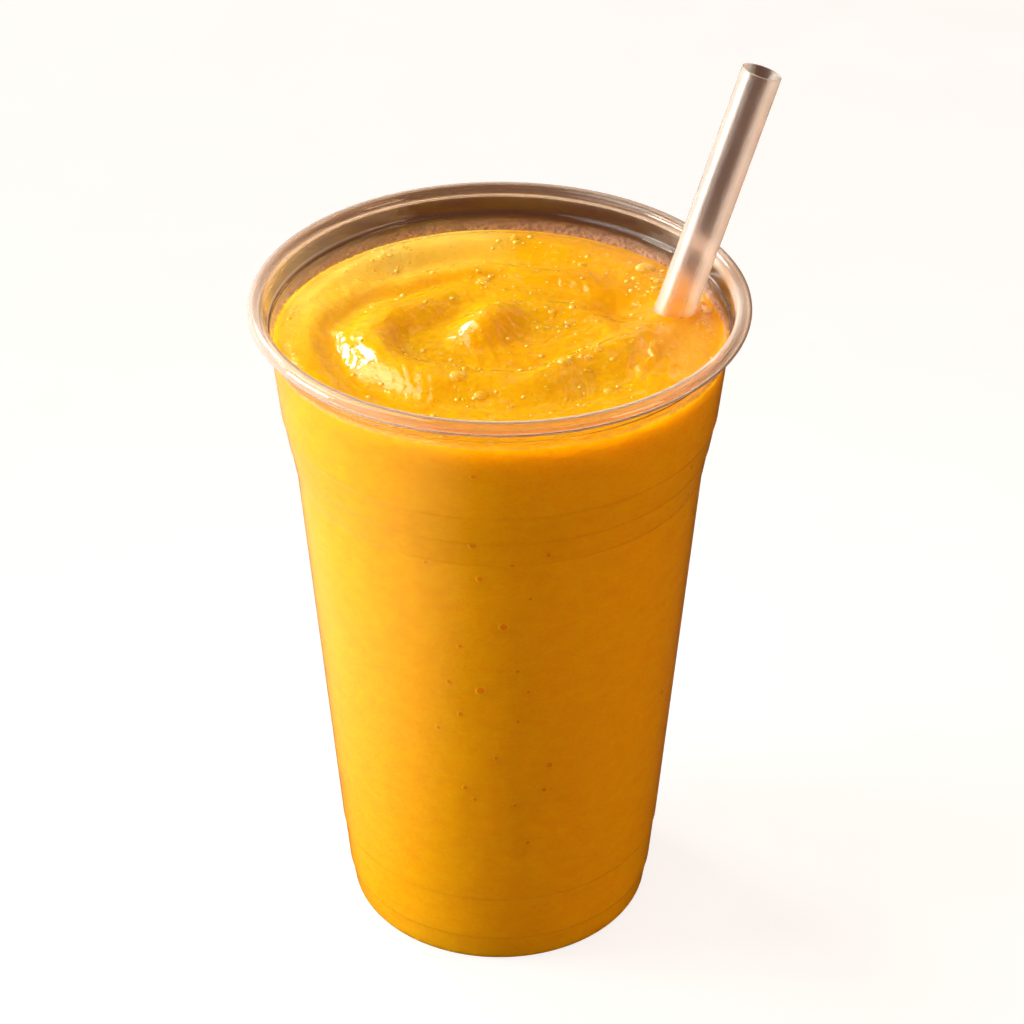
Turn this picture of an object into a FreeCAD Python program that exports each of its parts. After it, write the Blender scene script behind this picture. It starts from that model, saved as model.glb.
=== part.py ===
import FreeCAD, Part
import math
import os

# Mango smoothie in a clear take-away cup with a straw.
# Millimetres, Z up, the cup's axis on Z and its base on z = 0.

# ---- cup ----
cup_height = 143.0
rim_diameter = 98.0
curl_diameter = 3.0
wall_thickness = 0.4
curl_gap_angle = 50.0

# Each ring is a small outward step of the wall.
# Depths are measured down from the rim, and insets in from the rim's outside.
ledge_depth = 5.7
ledge_inset = 3.55
ledge_step = 0.55
ledge_rise = 0.6
upper_ring_depth = 24.0
upper_ring_inset = 5.8
middle_ring_depth = 30.5
middle_ring_inset = 7.05
lower_ring_depth = 36.0
lower_ring_inset = 8.1
belt_ring_height = 18.5
belt_ring_inset = 15.35
foot_ring_height = 7.0
foot_ring_inset = 16.55
ring_step = 0.25
ring_rise = 0.5
foot_inset = 17.4
foot_corner_radius = 2.0
foot_width = 4.0
base_recess = 2.0
recess_slope = 1.5

# ---- drink ----
fill_depth = 9.7
bowl_depth = 1.2
surface_steps = 48

mound_height = 4.2
mound_length = 13.5
mound_width = 8.0
mound_angle = 50.0
mound_x = -1.8
mound_y = 6.5

edge_puff_height = 2.2
edge_puff_share = 0.87
edge_puff_width = 7.5
edge_puff_bearing = 145.0

dent_depth = 1.6
dent_radius = 8.0
dent_x = 24.0
dent_y = 14.0

# The folds of the swirl, each with its inner and outer half width and the bearings
# it passes: bearing, radius as a share of the drink's radius, and height.
ring_fold = (
    (8.0, 10.5),
    (-315.0, 0.471, 0.0),
    (-290.0, 0.404, 1.2),
    (-250.0, 0.381, 1.8),
    (-215.0, 0.415, 2.6),
    (-180.0, 0.527, 3.8),
    (-150.0, 0.504, 3.8),
    (-115.0, 0.410, 3.2),
    (-83.0, 0.395, 2.8),
    (-43.0, 0.437, 2.8),
    (-19.0, 0.527, 3.2),
    (2.0, 0.673, 2.6),
    (16.0, 0.762, 0.0),
)
inner_fold = (
    (4.0, 5.0),
    (-10.0, 0.605, 0.0),
    (12.0, 0.549, 1.2),
    (28.0, 0.471, 1.6),
    (46.0, 0.386, 1.6),
    (67.0, 0.309, 1.6),
    (100.0, 0.247, 1.2),
    (135.0, 0.202, 0.0),
)
back_fold = (
    (4.0, 6.5),
    (25.0, 0.695, 0.0),
    (48.0, 0.639, 1.5),
    (66.0, 0.594, 1.9),
    (100.0, 0.561, 2.0),
    (137.0, 0.617, 2.0),
    (163.0, 0.695, 1.6),
    (190.0, 0.740, 0.0),
)
folds = (ring_fold, inner_fold, back_fold)
fold_rounding = (-12.0, -6.0, 0.0, 6.0, 12.0)
fold_blend = 0.4
swirl_centre_x = -2.0
swirl_centre_y = 1.0
swirl_fade_share = 0.80

# ---- straw ----
straw_diameter = 8.0
straw_wall = 0.35
straw_lean = 18.7
straw_heading = 21.3
straw_above_rim = 40.2
straw_rim_bearing = 15.5
straw_rim_gap = 2.9
straw_floor_gap = 1.2

# ---- worked out from the sizes above ----
rim_radius = rim_diameter / 2.0
fill_height = cup_height - fill_depth
floor_height = base_recess + wall_thickness
foot_radius = rim_radius - foot_inset
foot_inner_radius = foot_radius - foot_width
curl_radius = curl_diameter / 2.0
curl_inner_radius = curl_radius - wall_thickness
curl_centre_radius = rim_radius - curl_radius
curl_centre_height = cup_height - curl_radius
neck_radius = rim_radius - curl_diameter + wall_thickness
straw_radius = straw_diameter / 2.0

# The cup's wall from the foot's corner up to the curl, as (radius, height).
wall_line = [(foot_radius, foot_corner_radius)]
rings = (
    (foot_ring_inset, foot_ring_height, ring_step, ring_rise),
    (belt_ring_inset, belt_ring_height, ring_step, ring_rise),
    (lower_ring_inset, cup_height - lower_ring_depth, ring_step, ring_rise),
    (middle_ring_inset, cup_height - middle_ring_depth, ring_step, ring_rise),
    (upper_ring_inset, cup_height - upper_ring_depth, ring_step, ring_rise),
    (ledge_inset, cup_height - ledge_depth, ledge_step, ledge_rise),
)
for ring_inset, ring_height, step, rise in rings:
    ring_radius = rim_radius - ring_inset
    wall_line.append((ring_radius - step / 2.0, ring_height - rise / 2.0))
    wall_line.append((ring_radius + step / 2.0, ring_height + rise / 2.0))
wall_line.append((neck_radius, curl_centre_height))


def inside_radius(height):
    """Radius of the cup's inside at a height, along the wall line."""
    for (low_radius, low), (high_radius, high) in zip(wall_line[:-1], wall_line[1:]):
        if low <= height <= high:
            share = (height - low) / (high - low)
            return low_radius + share * (high_radius - low_radius) - wall_thickness
    return neck_radius - wall_thickness


fill_radius = inside_radius(fill_height)


def smooth_step(value):
    """0 below 0, 1 above 1 and a smooth rise between."""
    value = min(max(value, 0.0), 1.0)
    return value * value * (3.0 - 2.0 * value)


def hump(distance, half_width):
    """Cosine hump: 1 on the crest and 0 from the half width outwards."""
    if abs(distance) >= half_width:
        return 0.0
    return 0.5 + 0.5 * math.cos(math.pi * distance / half_width)


def between(stops, bearing, column):
    """Value of one column at a bearing, on straight runs between the stops."""
    if bearing <= stops[0][0]:
        return stops[0][column]
    for low, high in zip(stops[:-1], stops[1:]):
        if bearing <= high[0]:
            share = (bearing - low[0]) / (high[0] - low[0])
            return low[column] + share * (high[column] - low[column])
    return stops[-1][column]


def fold_height(x, y, fold):
    """Height of one fold: a hump across a line that winds round the swirl's centre.
    The line's radius and height are averaged over nearby bearings to round it."""
    (inner_width, outer_width), stops = fold[0], fold[1:]
    radius = math.hypot(x - swirl_centre_x, y - swirl_centre_y)
    bearing = math.degrees(math.atan2(y - swirl_centre_y, x - swirl_centre_x))
    tallest = 0.0
    for turn in (-360.0, 0.0, 360.0):
        nearby = [bearing + turn + offset for offset in fold_rounding]
        share = sum(between(stops, angle, 1) for angle in nearby) / len(nearby)
        height = sum(between(stops, angle, 2) for angle in nearby) / len(nearby)
        distance = radius - fill_radius * share
        half_width = inner_width if distance < 0.0 else outer_width
        tallest = max(tallest, height * hump(distance, half_width))
    return tallest


def mound(x, y):
    """Height of the oval mound near the middle."""
    turn = math.radians(mound_angle)
    along = (x - mound_x) * math.cos(turn) + (y - mound_y) * math.sin(turn)
    across = (y - mound_y) * math.cos(turn) - (x - mound_x) * math.sin(turn)
    return mound_height * hump(math.hypot(along / mound_length, across / mound_width), 1.0)


def blended(heights):
    """The tallest of the heights, with soft creases where two of them meet."""
    total = sum(math.exp(height / fold_blend) for height in heights)
    return fold_blend * math.log(total - len(heights) + 1.0)


def surface_height(x, y):
    """Top of the drink: a shallow bowl with a puffed edge, folds, a mound and a dent."""
    share = math.hypot(x, y) / fill_radius
    bowl = bowl_depth * (1.0 - smooth_step((share - 0.5) / 0.45))
    side = 0.5 + 0.5 * math.cos(math.atan2(y, x) - math.radians(edge_puff_bearing))
    puff = edge_puff_height * side
    puff *= hump((share - edge_puff_share) * fill_radius, edge_puff_width)
    fade = 1.0 - smooth_step((share - swirl_fade_share) / (1.0 - swirl_fade_share))
    raised = blended([fold_height(x, y, fold) for fold in folds] + [mound(x, y)])
    dent = dent_depth * hump(math.hypot(x - dent_x, y - dent_y), dent_radius)
    return fill_height - bowl + puff + fade * raised - dent


def point(radius, height):
    return FreeCAD.Vector(radius, 0.0, height)


def round_point(centre, radius, angle):
    """Point on a circle about centre in the plane of the cup's section."""
    turn = math.radians(angle)
    return centre + FreeCAD.Vector(radius * math.cos(turn), 0.0, radius * math.sin(turn))


def arc(centre, radius, first_angle, last_angle):
    middle_angle = (first_angle + last_angle) / 2.0
    return Part.Arc(
        round_point(centre, radius, first_angle),
        round_point(centre, radius, middle_angle),
        round_point(centre, radius, last_angle),
    ).toShape()


def lines(points):
    return [Part.makeLine(a, b) for a, b in zip(points[:-1], points[1:])]


def revolve(edges):
    face = Part.Face(Part.Wire(edges))
    return face.revolve(FreeCAD.Vector(0, 0, 0), FreeCAD.Vector(0, 0, 1), 360)


# Cup: a thin wall turned about its axis. It stands on the ring at its foot, and
# its rim curls outwards and down without closing.
outer_wall = [point(radius, height) for radius, height in wall_line]
inner_wall = [point(radius - wall_thickness, height) for radius, height in wall_line]
corner_centre = point(foot_radius - foot_corner_radius, foot_corner_radius)
curl_centre = point(curl_centre_radius, curl_centre_height)
curl_end_angle = -180.0 + curl_gap_angle

underside = [
    point(corner_centre.x, 0.0),
    point(foot_inner_radius, 0.0),
    point(foot_inner_radius - recess_slope, base_recess),
    point(0.0, base_recess),
]
inside_floor = [
    point(0.0, floor_height),
    point(foot_inner_radius - recess_slope + wall_thickness / 2.0, floor_height),
    point(foot_inner_radius + wall_thickness / 2.0, wall_thickness),
    point(corner_centre.x, wall_thickness),
]
inside_corner = arc(corner_centre, foot_corner_radius - wall_thickness, -90.0, 0.0)

cup_section = lines(underside + inside_floor[:1])
cup_section += lines(inside_floor)
cup_section.append(inside_corner)
cup_section += lines(inner_wall)
cup_section.append(arc(curl_centre, curl_radius, 180.0, curl_end_angle))
cup_section += lines(
    [
        round_point(curl_centre, curl_radius, curl_end_angle),
        round_point(curl_centre, curl_inner_radius, curl_end_angle),
    ]
)
cup_section.append(arc(curl_centre, curl_inner_radius, curl_end_angle, 180.0))
cup_section += lines(list(reversed(outer_wall)))
cup_section.append(arc(corner_centre, foot_corner_radius, 0.0, -90.0))
cup = revolve(cup_section)

# Straw: a straight thin tube, cut square at both ends, leaning past the rim.
lean = math.radians(straw_lean)
heading = math.radians(straw_heading)
straw_axis = FreeCAD.Vector(
    math.sin(lean) * math.cos(heading),
    math.sin(lean) * math.sin(heading),
    math.cos(lean),
)
straw_rim_radius = rim_radius - curl_diameter - straw_rim_gap - straw_radius / math.cos(lean)
straw_at_rim = FreeCAD.Vector(
    straw_rim_radius * math.cos(math.radians(straw_rim_bearing)),
    straw_rim_radius * math.sin(math.radians(straw_rim_bearing)),
    cup_height,
)
straw_top = straw_at_rim + straw_axis * (straw_above_rim / straw_axis.z)
straw_end_height = floor_height + straw_floor_gap + straw_radius * math.sin(lean)
straw_length = (straw_top.z - straw_end_height) / straw_axis.z
straw_end = straw_top - straw_axis * straw_length
straw_outside = Part.makeCylinder(straw_radius, straw_length, straw_end, straw_axis)
straw_bore = Part.makeCylinder(
    straw_radius - straw_wall, straw_length, straw_end, straw_axis
)
straw = straw_outside.cut(straw_bore)

# Drink: the cup's inside up to the swirled surface, cut round the straw. It also
# fills the straw's bore to the same level.
inside_section = lines(inside_floor)
inside_section.append(inside_corner)
inside_section += lines(inner_wall)
inside_section += lines([inner_wall[-1], point(0.0, curl_centre_height), inside_floor[0]])
inside = revolve(inside_section)

spacing = rim_diameter / surface_steps
surface_points = []
for column in range(surface_steps + 1):
    x = column * spacing - rim_radius
    heights = [
        (row * spacing - rim_radius, surface_height(x, row * spacing - rim_radius))
        for row in range(surface_steps + 1)
    ]
    surface_points.append([FreeCAD.Vector(x, y, height) for y, height in heights])
surface = Part.BSplineSurface()
surface.interpolate(surface_points)
below_surface = surface.toShape().extrude(FreeCAD.Vector(0, 0, -cup_height))
smoothie = inside.common(below_surface).cut(straw)

os.makedirs("parts", exist_ok=True)
cup.exportStep("parts/cup.step")
smoothie.exportStep("parts/smoothie.step")
straw.exportStep("parts/straw.step")
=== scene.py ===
import math

import bpy
import numpy as np
from mathutils import Matrix, Vector


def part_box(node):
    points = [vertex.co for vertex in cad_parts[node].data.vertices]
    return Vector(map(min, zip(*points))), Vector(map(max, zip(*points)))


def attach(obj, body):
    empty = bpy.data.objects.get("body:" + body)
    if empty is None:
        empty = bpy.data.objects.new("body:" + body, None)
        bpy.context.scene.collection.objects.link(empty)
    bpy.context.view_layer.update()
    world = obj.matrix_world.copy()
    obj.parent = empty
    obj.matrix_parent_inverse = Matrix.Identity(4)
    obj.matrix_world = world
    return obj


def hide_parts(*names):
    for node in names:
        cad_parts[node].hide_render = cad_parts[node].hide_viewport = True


bl_info = {
    "name": "Mango Smoothie",
    "version": (1, 0, 0),
    "blender": (4, 5, 0),
    "location": "View3D > Sidebar > Smoothie",
    "description": "Builds a mango smoothie in a clear take-away cup with a straw",
    "category": "Add Mesh",
}

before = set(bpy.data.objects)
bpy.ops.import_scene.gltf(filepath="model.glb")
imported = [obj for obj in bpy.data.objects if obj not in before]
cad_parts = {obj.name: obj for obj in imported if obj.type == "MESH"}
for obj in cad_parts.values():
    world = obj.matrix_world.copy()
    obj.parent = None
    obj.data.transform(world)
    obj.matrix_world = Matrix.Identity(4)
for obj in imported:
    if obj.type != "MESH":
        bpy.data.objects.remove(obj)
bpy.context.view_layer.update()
MM = 0.001
CUP_LOW, CUP_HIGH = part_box("cup")
STRAW_LOW, STRAW_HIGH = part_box("straw")
RIM_RADIUS = CUP_HIGH.x / MM
CUP_HEIGHT = CUP_HIGH.z / MM

# Sizes below are in millimetres and angles in degrees, as on the cup's drawing.
WALL = 0.4
CURL_RADIUS = 1.5
CURL_END_ANGLE = -130.0
FOOT_RADIUS = RIM_RADIUS - 17.4
FOOT_CORNER = 2.0
FOOT_WIDTH = 4.0
BASE_RECESS = 2.0
RECESS_SLOPE = 1.5
NECK_RADIUS = RIM_RADIUS - 2.0 * CURL_RADIUS + WALL
LEDGE_HEIGHT = CUP_HEIGHT - 5.7

# How far the drink's own mesh reaches into the wall, so that no air lies between.
INTO_WALL = 0.12

# Rings of the wall: height, radius, outward step and rise.
RINGS = np.array(
    (
        (7.0, RIM_RADIUS - 16.55, 0.25, 0.5),
        (18.5, RIM_RADIUS - 15.35, 0.25, 0.5),
        (CUP_HEIGHT - 36.0, RIM_RADIUS - 8.1, 0.25, 0.5),
        (CUP_HEIGHT - 30.5, RIM_RADIUS - 7.05, 0.25, 0.5),
        (CUP_HEIGHT - 24.0, RIM_RADIUS - 5.8, 0.25, 0.5),
        (LEDGE_HEIGHT, RIM_RADIUS - 3.55, 0.55, 0.6),
    )
)

# Rows of points are closer this far above and below a ring.
RING_REACH = 0.6

# Folds of the swirl: inner and outer half width, then the bearings each one passes
# with its radius as a share of the drink's radius and its height.
FOLDS = (
    (
        (8.0, 10.5),
        (-315.0, 0.471, 0.0),
        (-290.0, 0.404, 1.2),
        (-250.0, 0.381, 1.8),
        (-215.0, 0.415, 2.6),
        (-180.0, 0.527, 3.8),
        (-150.0, 0.504, 3.8),
        (-115.0, 0.410, 3.2),
        (-83.0, 0.395, 2.8),
        (-43.0, 0.437, 2.8),
        (-19.0, 0.527, 3.2),
        (2.0, 0.673, 2.6),
        (16.0, 0.762, 0.0),
    ),
    (
        (5.5, 5.0),
        (-10.0, 0.605, 0.0),
        (12.0, 0.549, 0.8),
        (28.0, 0.471, 1.3),
        (46.0, 0.386, 1.6),
        (67.0, 0.309, 1.6),
        (100.0, 0.247, 1.2),
        (135.0, 0.202, 0.0),
    ),
    (
        (4.0, 6.5),
        (25.0, 0.695, 0.0),
        (48.0, 0.639, 1.5),
        (66.0, 0.594, 1.9),
        (100.0, 0.561, 2.0),
        (137.0, 0.617, 2.0),
        (163.0, 0.695, 1.6),
        (190.0, 0.740, 0.0),
    ),
)
FOLD_ROUNDING = (-12.0, -6.0, 0.0, 6.0, 12.0)
FOLD_BLEND = 0.4
SWIRL_CENTRE = (-2.0, 1.0)
SWIRL_FADE_SHARE = 0.80
BOWL_DEPTH = 1.2
MOUND = (-1.8, 6.5, 13.5, 8.0, 50.0)
EDGE_PUFF = (2.2, 0.87, 7.5, 145.0)
DENT = (24.0, 14.0, 8.0, 1.6)

# Crinkled places on the skin: x, y, radius and extra strength.
CRINKLES = (
    (-32.0, -4.0, 12.0, 1.3),
    (30.0, -10.0, 8.0, 0.7),
    (-26.0, 24.0, 12.0, 0.6),
    (36.0, 20.0, 10.0, 0.3),
)

# Broken lip of a fold: its two ends and its height.
LIP = ((26.0, -16.0), (32.0, 0.0), 0.9)

STRAW_LEAN = 18.7
STRAW_HEADING = 21.3

# Small bubbles are scattered up to this far from the middle.
SCATTER_RADIUS = 42.5

# Larger bubbles on the drink: x, y, radius and how far each stands up.
TOP_BUBBLES = (
    (29.5, 27.0, 2.3, 0.62),
    (-3.2, 24.0, 1.5, 0.5),
    (3.0, 38.5, 1.2, 0.5),
    (17.0, 30.0, 1.1, 0.5),
    (14.0, 8.5, 1.4, 0.5),
    (10.5, 11.0, 0.9, 0.5),
    (12.5, -12.0, 1.6, 0.55),
    (-8.0, -17.0, 1.9, 0.45),
    (-3.5, -21.5, 1.6, 0.45),
    (21.0, -18.5, 1.2, 0.5),
    (19.0, -7.5, 1.2, 0.4),
    (17.0, -10.0, 0.9, 0.5),
    (41.0, 10.0, 1.5, 0.6),
    (40.0, 13.5, 1.1, 0.6),
    (32.0, 22.0, 1.2, 0.6),
    (31.5, 19.5, 0.9, 0.6),
    (-22.4, 32.5, 0.9, 0.5),
    (-24.0, 29.8, 1.1, 0.5),
    (-40.5, 10.0, 0.9, 0.5),
    (-41.0, 7.5, 0.8, 0.5),
)

# Air pockets against the wall: bearing, height and radius.
WALL_BUBBLES = (
    (-97.0, 112.0, 1.0),
    (-95.3, 103.6, 0.9),
    (-88.9, 91.8, 1.1),
    (-95.5, 75.5, 1.2),
    (-86.6, 107.0, 0.6),
    (-110.5, 106.0, 0.6),
    (-77.0, 109.0, 0.7),
    (-101.5, 86.5, 0.6),
    (-105.0, 77.0, 0.7),
    (-109.0, 64.5, 0.7),
    (-81.5, 98.5, 0.6),
    (-84.8, 80.5, 0.7),
    (-81.5, 75.0, 0.6),
    (-101.8, 69.0, 0.8),
    (-84.5, 67.5, 0.6),
    (-91.0, 58.0, 0.7),
    (-101.0, 49.5, 0.8),
    (-98.0, 46.5, 0.7),
    (-80.5, 34.5, 0.7),
    (-85.0, 45.0, 0.6),
    (-96.5, 129.0, 0.6),
    (-74.0, 55.0, 0.9),
    (-75.5, 48.5, 0.8),
)

# The camera's place in metres, its pitch, yaw and roll in radians, and its lens.
CAMERA_PLACE = (0.0, -0.5256, 0.4362)
CAMERA_TURN = (0.57906, 0.00474, 0.003056)
FOCAL_LENGTH = 108.7


def mm(value, name, description):
    """A length in metres, given here in millimetres."""
    return bpy.props.FloatProperty(
        name=name,
        description=description,
        default=value * MM,
        min=0.0,
        max=0.2,
        precision=5,
        unit="LENGTH",
        subtype="DISTANCE",
    )


def paint(value, name, description):
    """A colour in linear red, green and blue."""
    return bpy.props.FloatVectorProperty(
        name=name,
        description=description,
        default=value,
        size=3,
        min=0.0,
        max=1.0,
        subtype="COLOR",
    )


class SmoothieSizes(bpy.types.PropertyGroup):
    fill_depth: mm(9.7, "Fill depth", "How far below the rim the drink stands at the wall")
    mound_height: mm(4.2, "Mound height", "Height of the mound near the middle")
    ripple_depth: mm(0.30, "Ripple depth", "Height of the fine wrinkles on the drink")
    fold_scale: bpy.props.FloatProperty(
        name="Fold strength",
        description="Scales the height of the swirl's folds",
        default=1.0,
        min=0.0,
        max=2.0,
        subtype="FACTOR",
    )
    straw_diameter: mm(8.0, "Straw diameter", "Outside diameter of the straw")
    straw_wall: mm(0.35, "Straw wall", "Thickness of the straw's wall")
    foam_thickness: mm(0.35, "Foam thickness", "Thickness of the foam left on the wall")
    small_bubbles: bpy.props.IntProperty(
        name="Small bubbles",
        description="How many small bubbles lie on the drink",
        default=420,
        min=0,
        max=600,
    )


class SmoothieColours(bpy.types.PropertyGroup):
    drink: paint((0.92, 0.51, 0.002), "Mango", "Main colour of the drink")
    drink_deep: paint((0.87, 0.40, 0.001), "Deep mango", "Darker pulp in the drink")
    # Pale froth at the drink's edge; the same colour is spread wide over the back left of
    # the top as painted light, and tints the bubble skins.
    froth_and_painted_light: paint((0.95, 0.72, 0.13), "Froth", "Paler froth at the edge of the drink")
    # Painted shade: a deeper mango on the right of the top, in a basin near the middle,
    # and round the back left of the body where the lamps shine hardest.
    painted_shade: paint((0.84, 0.35, 0.001), "Settled mango", "Deeper colour without froth")
    foam: paint((0.60, 0.36, 0.24), "Foam", "Foam along the wall")
    clear: paint((0.99, 0.98, 0.97), "Clear plastic", "Tint of the cup's lower wall")
    # Painted tint: a warm brown on the plastic above the ledge, standing in for brown
    # surroundings seen through the free wall and rim.
    painted_surroundings_tint: paint((0.97, 0.84, 0.72), "Smoked rim", "Tint of the cup's free wall and rim")
    haze: paint((0.92, 0.84, 0.81), "Haze", "Milky haze in the rolled rim")
    straw: paint((0.95, 0.86, 0.82), "Straw", "Milky colour of the straw")
    floor: paint((0.88, 0.87, 0.86), "Floor", "Colour of the floor")
    table: paint((0.100, 0.016, 0.002), "Table", "What the object mirrors of the floor")
    table_left: paint((0.78, 0.68, 0.62), "Table, left", "The table's lit left side")
    table_far: paint((0.065, 0.008, 0.0), "Table, far", "The table beyond the cup")
    ceiling: paint((0.28, 0.15, 0.05), "Ceiling", "Even light from above")
    walls: paint((0.20, 0.10, 0.03), "Walls", "Even light from the sides")
    strip: paint((0.75, 0.68, 0.64), "Light strip", "Paler strip of light all round")
    window: paint((1.0, 0.93, 0.90), "Window side", "Light from the cup's left side")


# ---------------------------------------------------------------- mesh helpers


def put_mesh(name, points, faces, material):
    """Makes a smooth mesh object from points in millimetres and rides it on the body."""
    mesh = bpy.data.meshes.new(name)
    mesh.from_pydata((points * MM).tolist(), [], faces)
    mesh.update()
    mesh.polygons.foreach_set("use_smooth", np.ones(len(mesh.polygons), bool))
    mesh.materials.append(material)
    piece = bpy.data.objects.new(name, mesh)
    bpy.context.scene.collection.objects.link(piece)
    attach(piece, "root")
    return piece


def turned_faces(rows, columns, offset=0, loop=False):
    """Faces of a surface closed round its columns. Rows run from pole to pole, or in
    a loop. The points are the rows in order, then the first and the last pole. Each
    face's outside is on the side of (step along rows) x (step along columns)."""
    row = np.arange(rows if loop else rows - 1)[:, None]
    column = np.arange(columns)[None, :]
    after = (column + 1) % columns
    here = row * columns
    below = ((row + 1) % rows) * columns
    quads = np.stack(
        (here + column, below + column, below + after, here + after), -1
    ).reshape(-1, 4)
    faces = (quads + offset).tolist()
    if loop:
        return faces
    around = np.arange(columns)
    beyond = (around + 1) % columns
    pole = np.full(columns, offset + rows * columns)
    last = offset + (rows - 1) * columns
    for corners in (
        (pole, offset + around, offset + beyond),
        (pole + 1, last + beyond, last + around),
    ):
        faces += np.stack(corners, -1).tolist()
    return faces


def bearings(columns):
    """Evenly spaced angles all round."""
    return np.arange(columns) * 2.0 * np.pi / columns


def round_axis(radius, height, angle):
    """Points at a radius and a height, (r cos a, r sin a, h) for each angle a."""
    x, y = radius * np.cos(angle), radius * np.sin(angle)
    return np.stack((x, y, np.broadcast_to(height, x.shape)), -1)


def turned(profile, columns):
    """Carries a profile of (radius, height) round the Z axis. The first and last
    points lie on the axis and become the poles."""
    radius, height = profile[1:-1, :1], profile[1:-1, 1:]
    points = round_axis(radius, height, bearings(columns)).reshape(-1, 3)
    poles = np.array([(0.0, 0.0, profile[0, 1]), (0.0, 0.0, profile[-1, 1])])
    return np.vstack((points, poles)), turned_faces(len(radius), columns)


def smooth_step(value):
    """0 below 0, 1 above 1, and 3v^2 - 2v^3 between."""
    value = np.clip(value, 0.0, 1.0)
    return value * value * (3.0 - 2.0 * value)


def hump(distance, half_width):
    """(1 + cos(pi d / w)) / 2 inside the half width w, and 0 outside it."""
    share = np.clip(np.abs(distance) / half_width, 0.0, 1.0)
    return 0.5 + 0.5 * np.cos(np.pi * share)


def arc(centre, radius, first, last, steps):
    """Points of a circle about centre between two angles."""
    turn = np.radians(np.linspace(first, last, steps))
    return np.stack(
        (centre[0] + radius * np.cos(turn), centre[1] + radius * np.sin(turn)), -1
    )


# ------------------------------------------------------------- shape functions


def wall_radius(height):
    """Outside radius of the cup's wall: straight runs between the rings, each ring a
    step outwards, with every corner rounded by averaging over a short height."""
    low = np.stack((RINGS[:, 0] - RINGS[:, 3] / 2, RINGS[:, 1] - RINGS[:, 2] / 2), -1)
    high = np.stack((RINGS[:, 0] + RINGS[:, 3] / 2, RINGS[:, 1] + RINGS[:, 2] / 2), -1)
    steps = np.stack((low, high), 1).reshape(-1, 2)
    knots = np.vstack(
        (
            (FOOT_CORNER, FOOT_RADIUS),
            steps,
            (CUP_HEIGHT - CURL_RADIUS, NECK_RADIUS),
        )
    )
    taps = np.linspace(-0.15, 0.15, 5)
    spread = np.asarray(height, float)[..., None] + taps
    return np.interp(spread, knots[:, 0], knots[:, 1]).mean(-1)


def cup_profile():
    """Section of the cup from the middle of its floor up the inside, round the open
    curl of the rim, and down the outside to the middle of its underside."""
    heights = np.unique(
        np.concatenate(
            [np.linspace(FOOT_CORNER, CUP_HEIGHT - CURL_RADIUS, 60)]
            + [np.linspace(z - RING_REACH, z + RING_REACH, 11) for z in RINGS[:, 0]]
        )
    )
    outer = np.stack((wall_radius(heights), heights), -1)
    inner = outer - (WALL, 0.0)
    corner = (FOOT_RADIUS - FOOT_CORNER, FOOT_CORNER)
    inner_foot = FOOT_RADIUS - FOOT_WIDTH
    floor = BASE_RECESS + WALL
    curl = (RIM_RADIUS - CURL_RADIUS, CUP_HEIGHT - CURL_RADIUS)
    lip = arc(curl, CURL_RADIUS - WALL / 2, CURL_END_ANGLE, CURL_END_ANGLE - 6.0, 2)[1:]
    return np.vstack(
        (
            [(0.0, floor), (12.0, floor)],
            [(inner_foot - RECESS_SLOPE + WALL / 2.0, floor)],
            [(inner_foot + WALL / 2.0, WALL)],
            arc(corner, FOOT_CORNER - WALL, -90.0, 0.0, 8),
            inner[1:],
            arc(curl, CURL_RADIUS, 180.0, CURL_END_ANGLE, 40)[1:],
            lip,
            arc(curl, CURL_RADIUS - WALL, CURL_END_ANGLE, 180.0, 30),
            outer[::-1][1:],
            arc(corner, FOOT_CORNER, 0.0, -90.0, 10)[1:],
            [(inner_foot, 0.0), (inner_foot - RECESS_SLOPE, BASE_RECESS)],
            [(12.0, BASE_RECESS), (0.0, BASE_RECESS)],
        )
    )


def fold_height(x, y, fold, drink_radius):
    """Height of one fold: a hump across a line that winds round the swirl's centre.
    The line's radius and height are averaged over nearby bearings to round it."""
    inner_width, outer_width = fold[0]
    stops = np.array(fold[1:])
    right = x - SWIRL_CENTRE[0] + 0.9 * np.sin(0.23 * y + 0.8) * np.sin(0.31 * x)
    back = y - SWIRL_CENTRE[1] + 0.8 * np.sin(0.27 * x + 0.5 * np.sin(0.4 * y))
    radius = np.hypot(right, back)
    bearing = np.degrees(np.arctan2(back, right))
    tallest = np.zeros_like(radius)
    for turn in (-360.0, 0.0, 360.0):
        nearby = (bearing + turn)[..., None] + np.array(FOLD_ROUNDING)
        share = np.interp(nearby, stops[:, 0], stops[:, 1]).mean(-1)
        height = np.interp(nearby, stops[:, 0], stops[:, 2]).mean(-1)
        distance = radius - drink_radius * share
        half_width = np.where(distance < 0.0, inner_width, outer_width)
        tallest = np.maximum(tallest, height * hump(distance, half_width))
    return tallest


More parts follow.
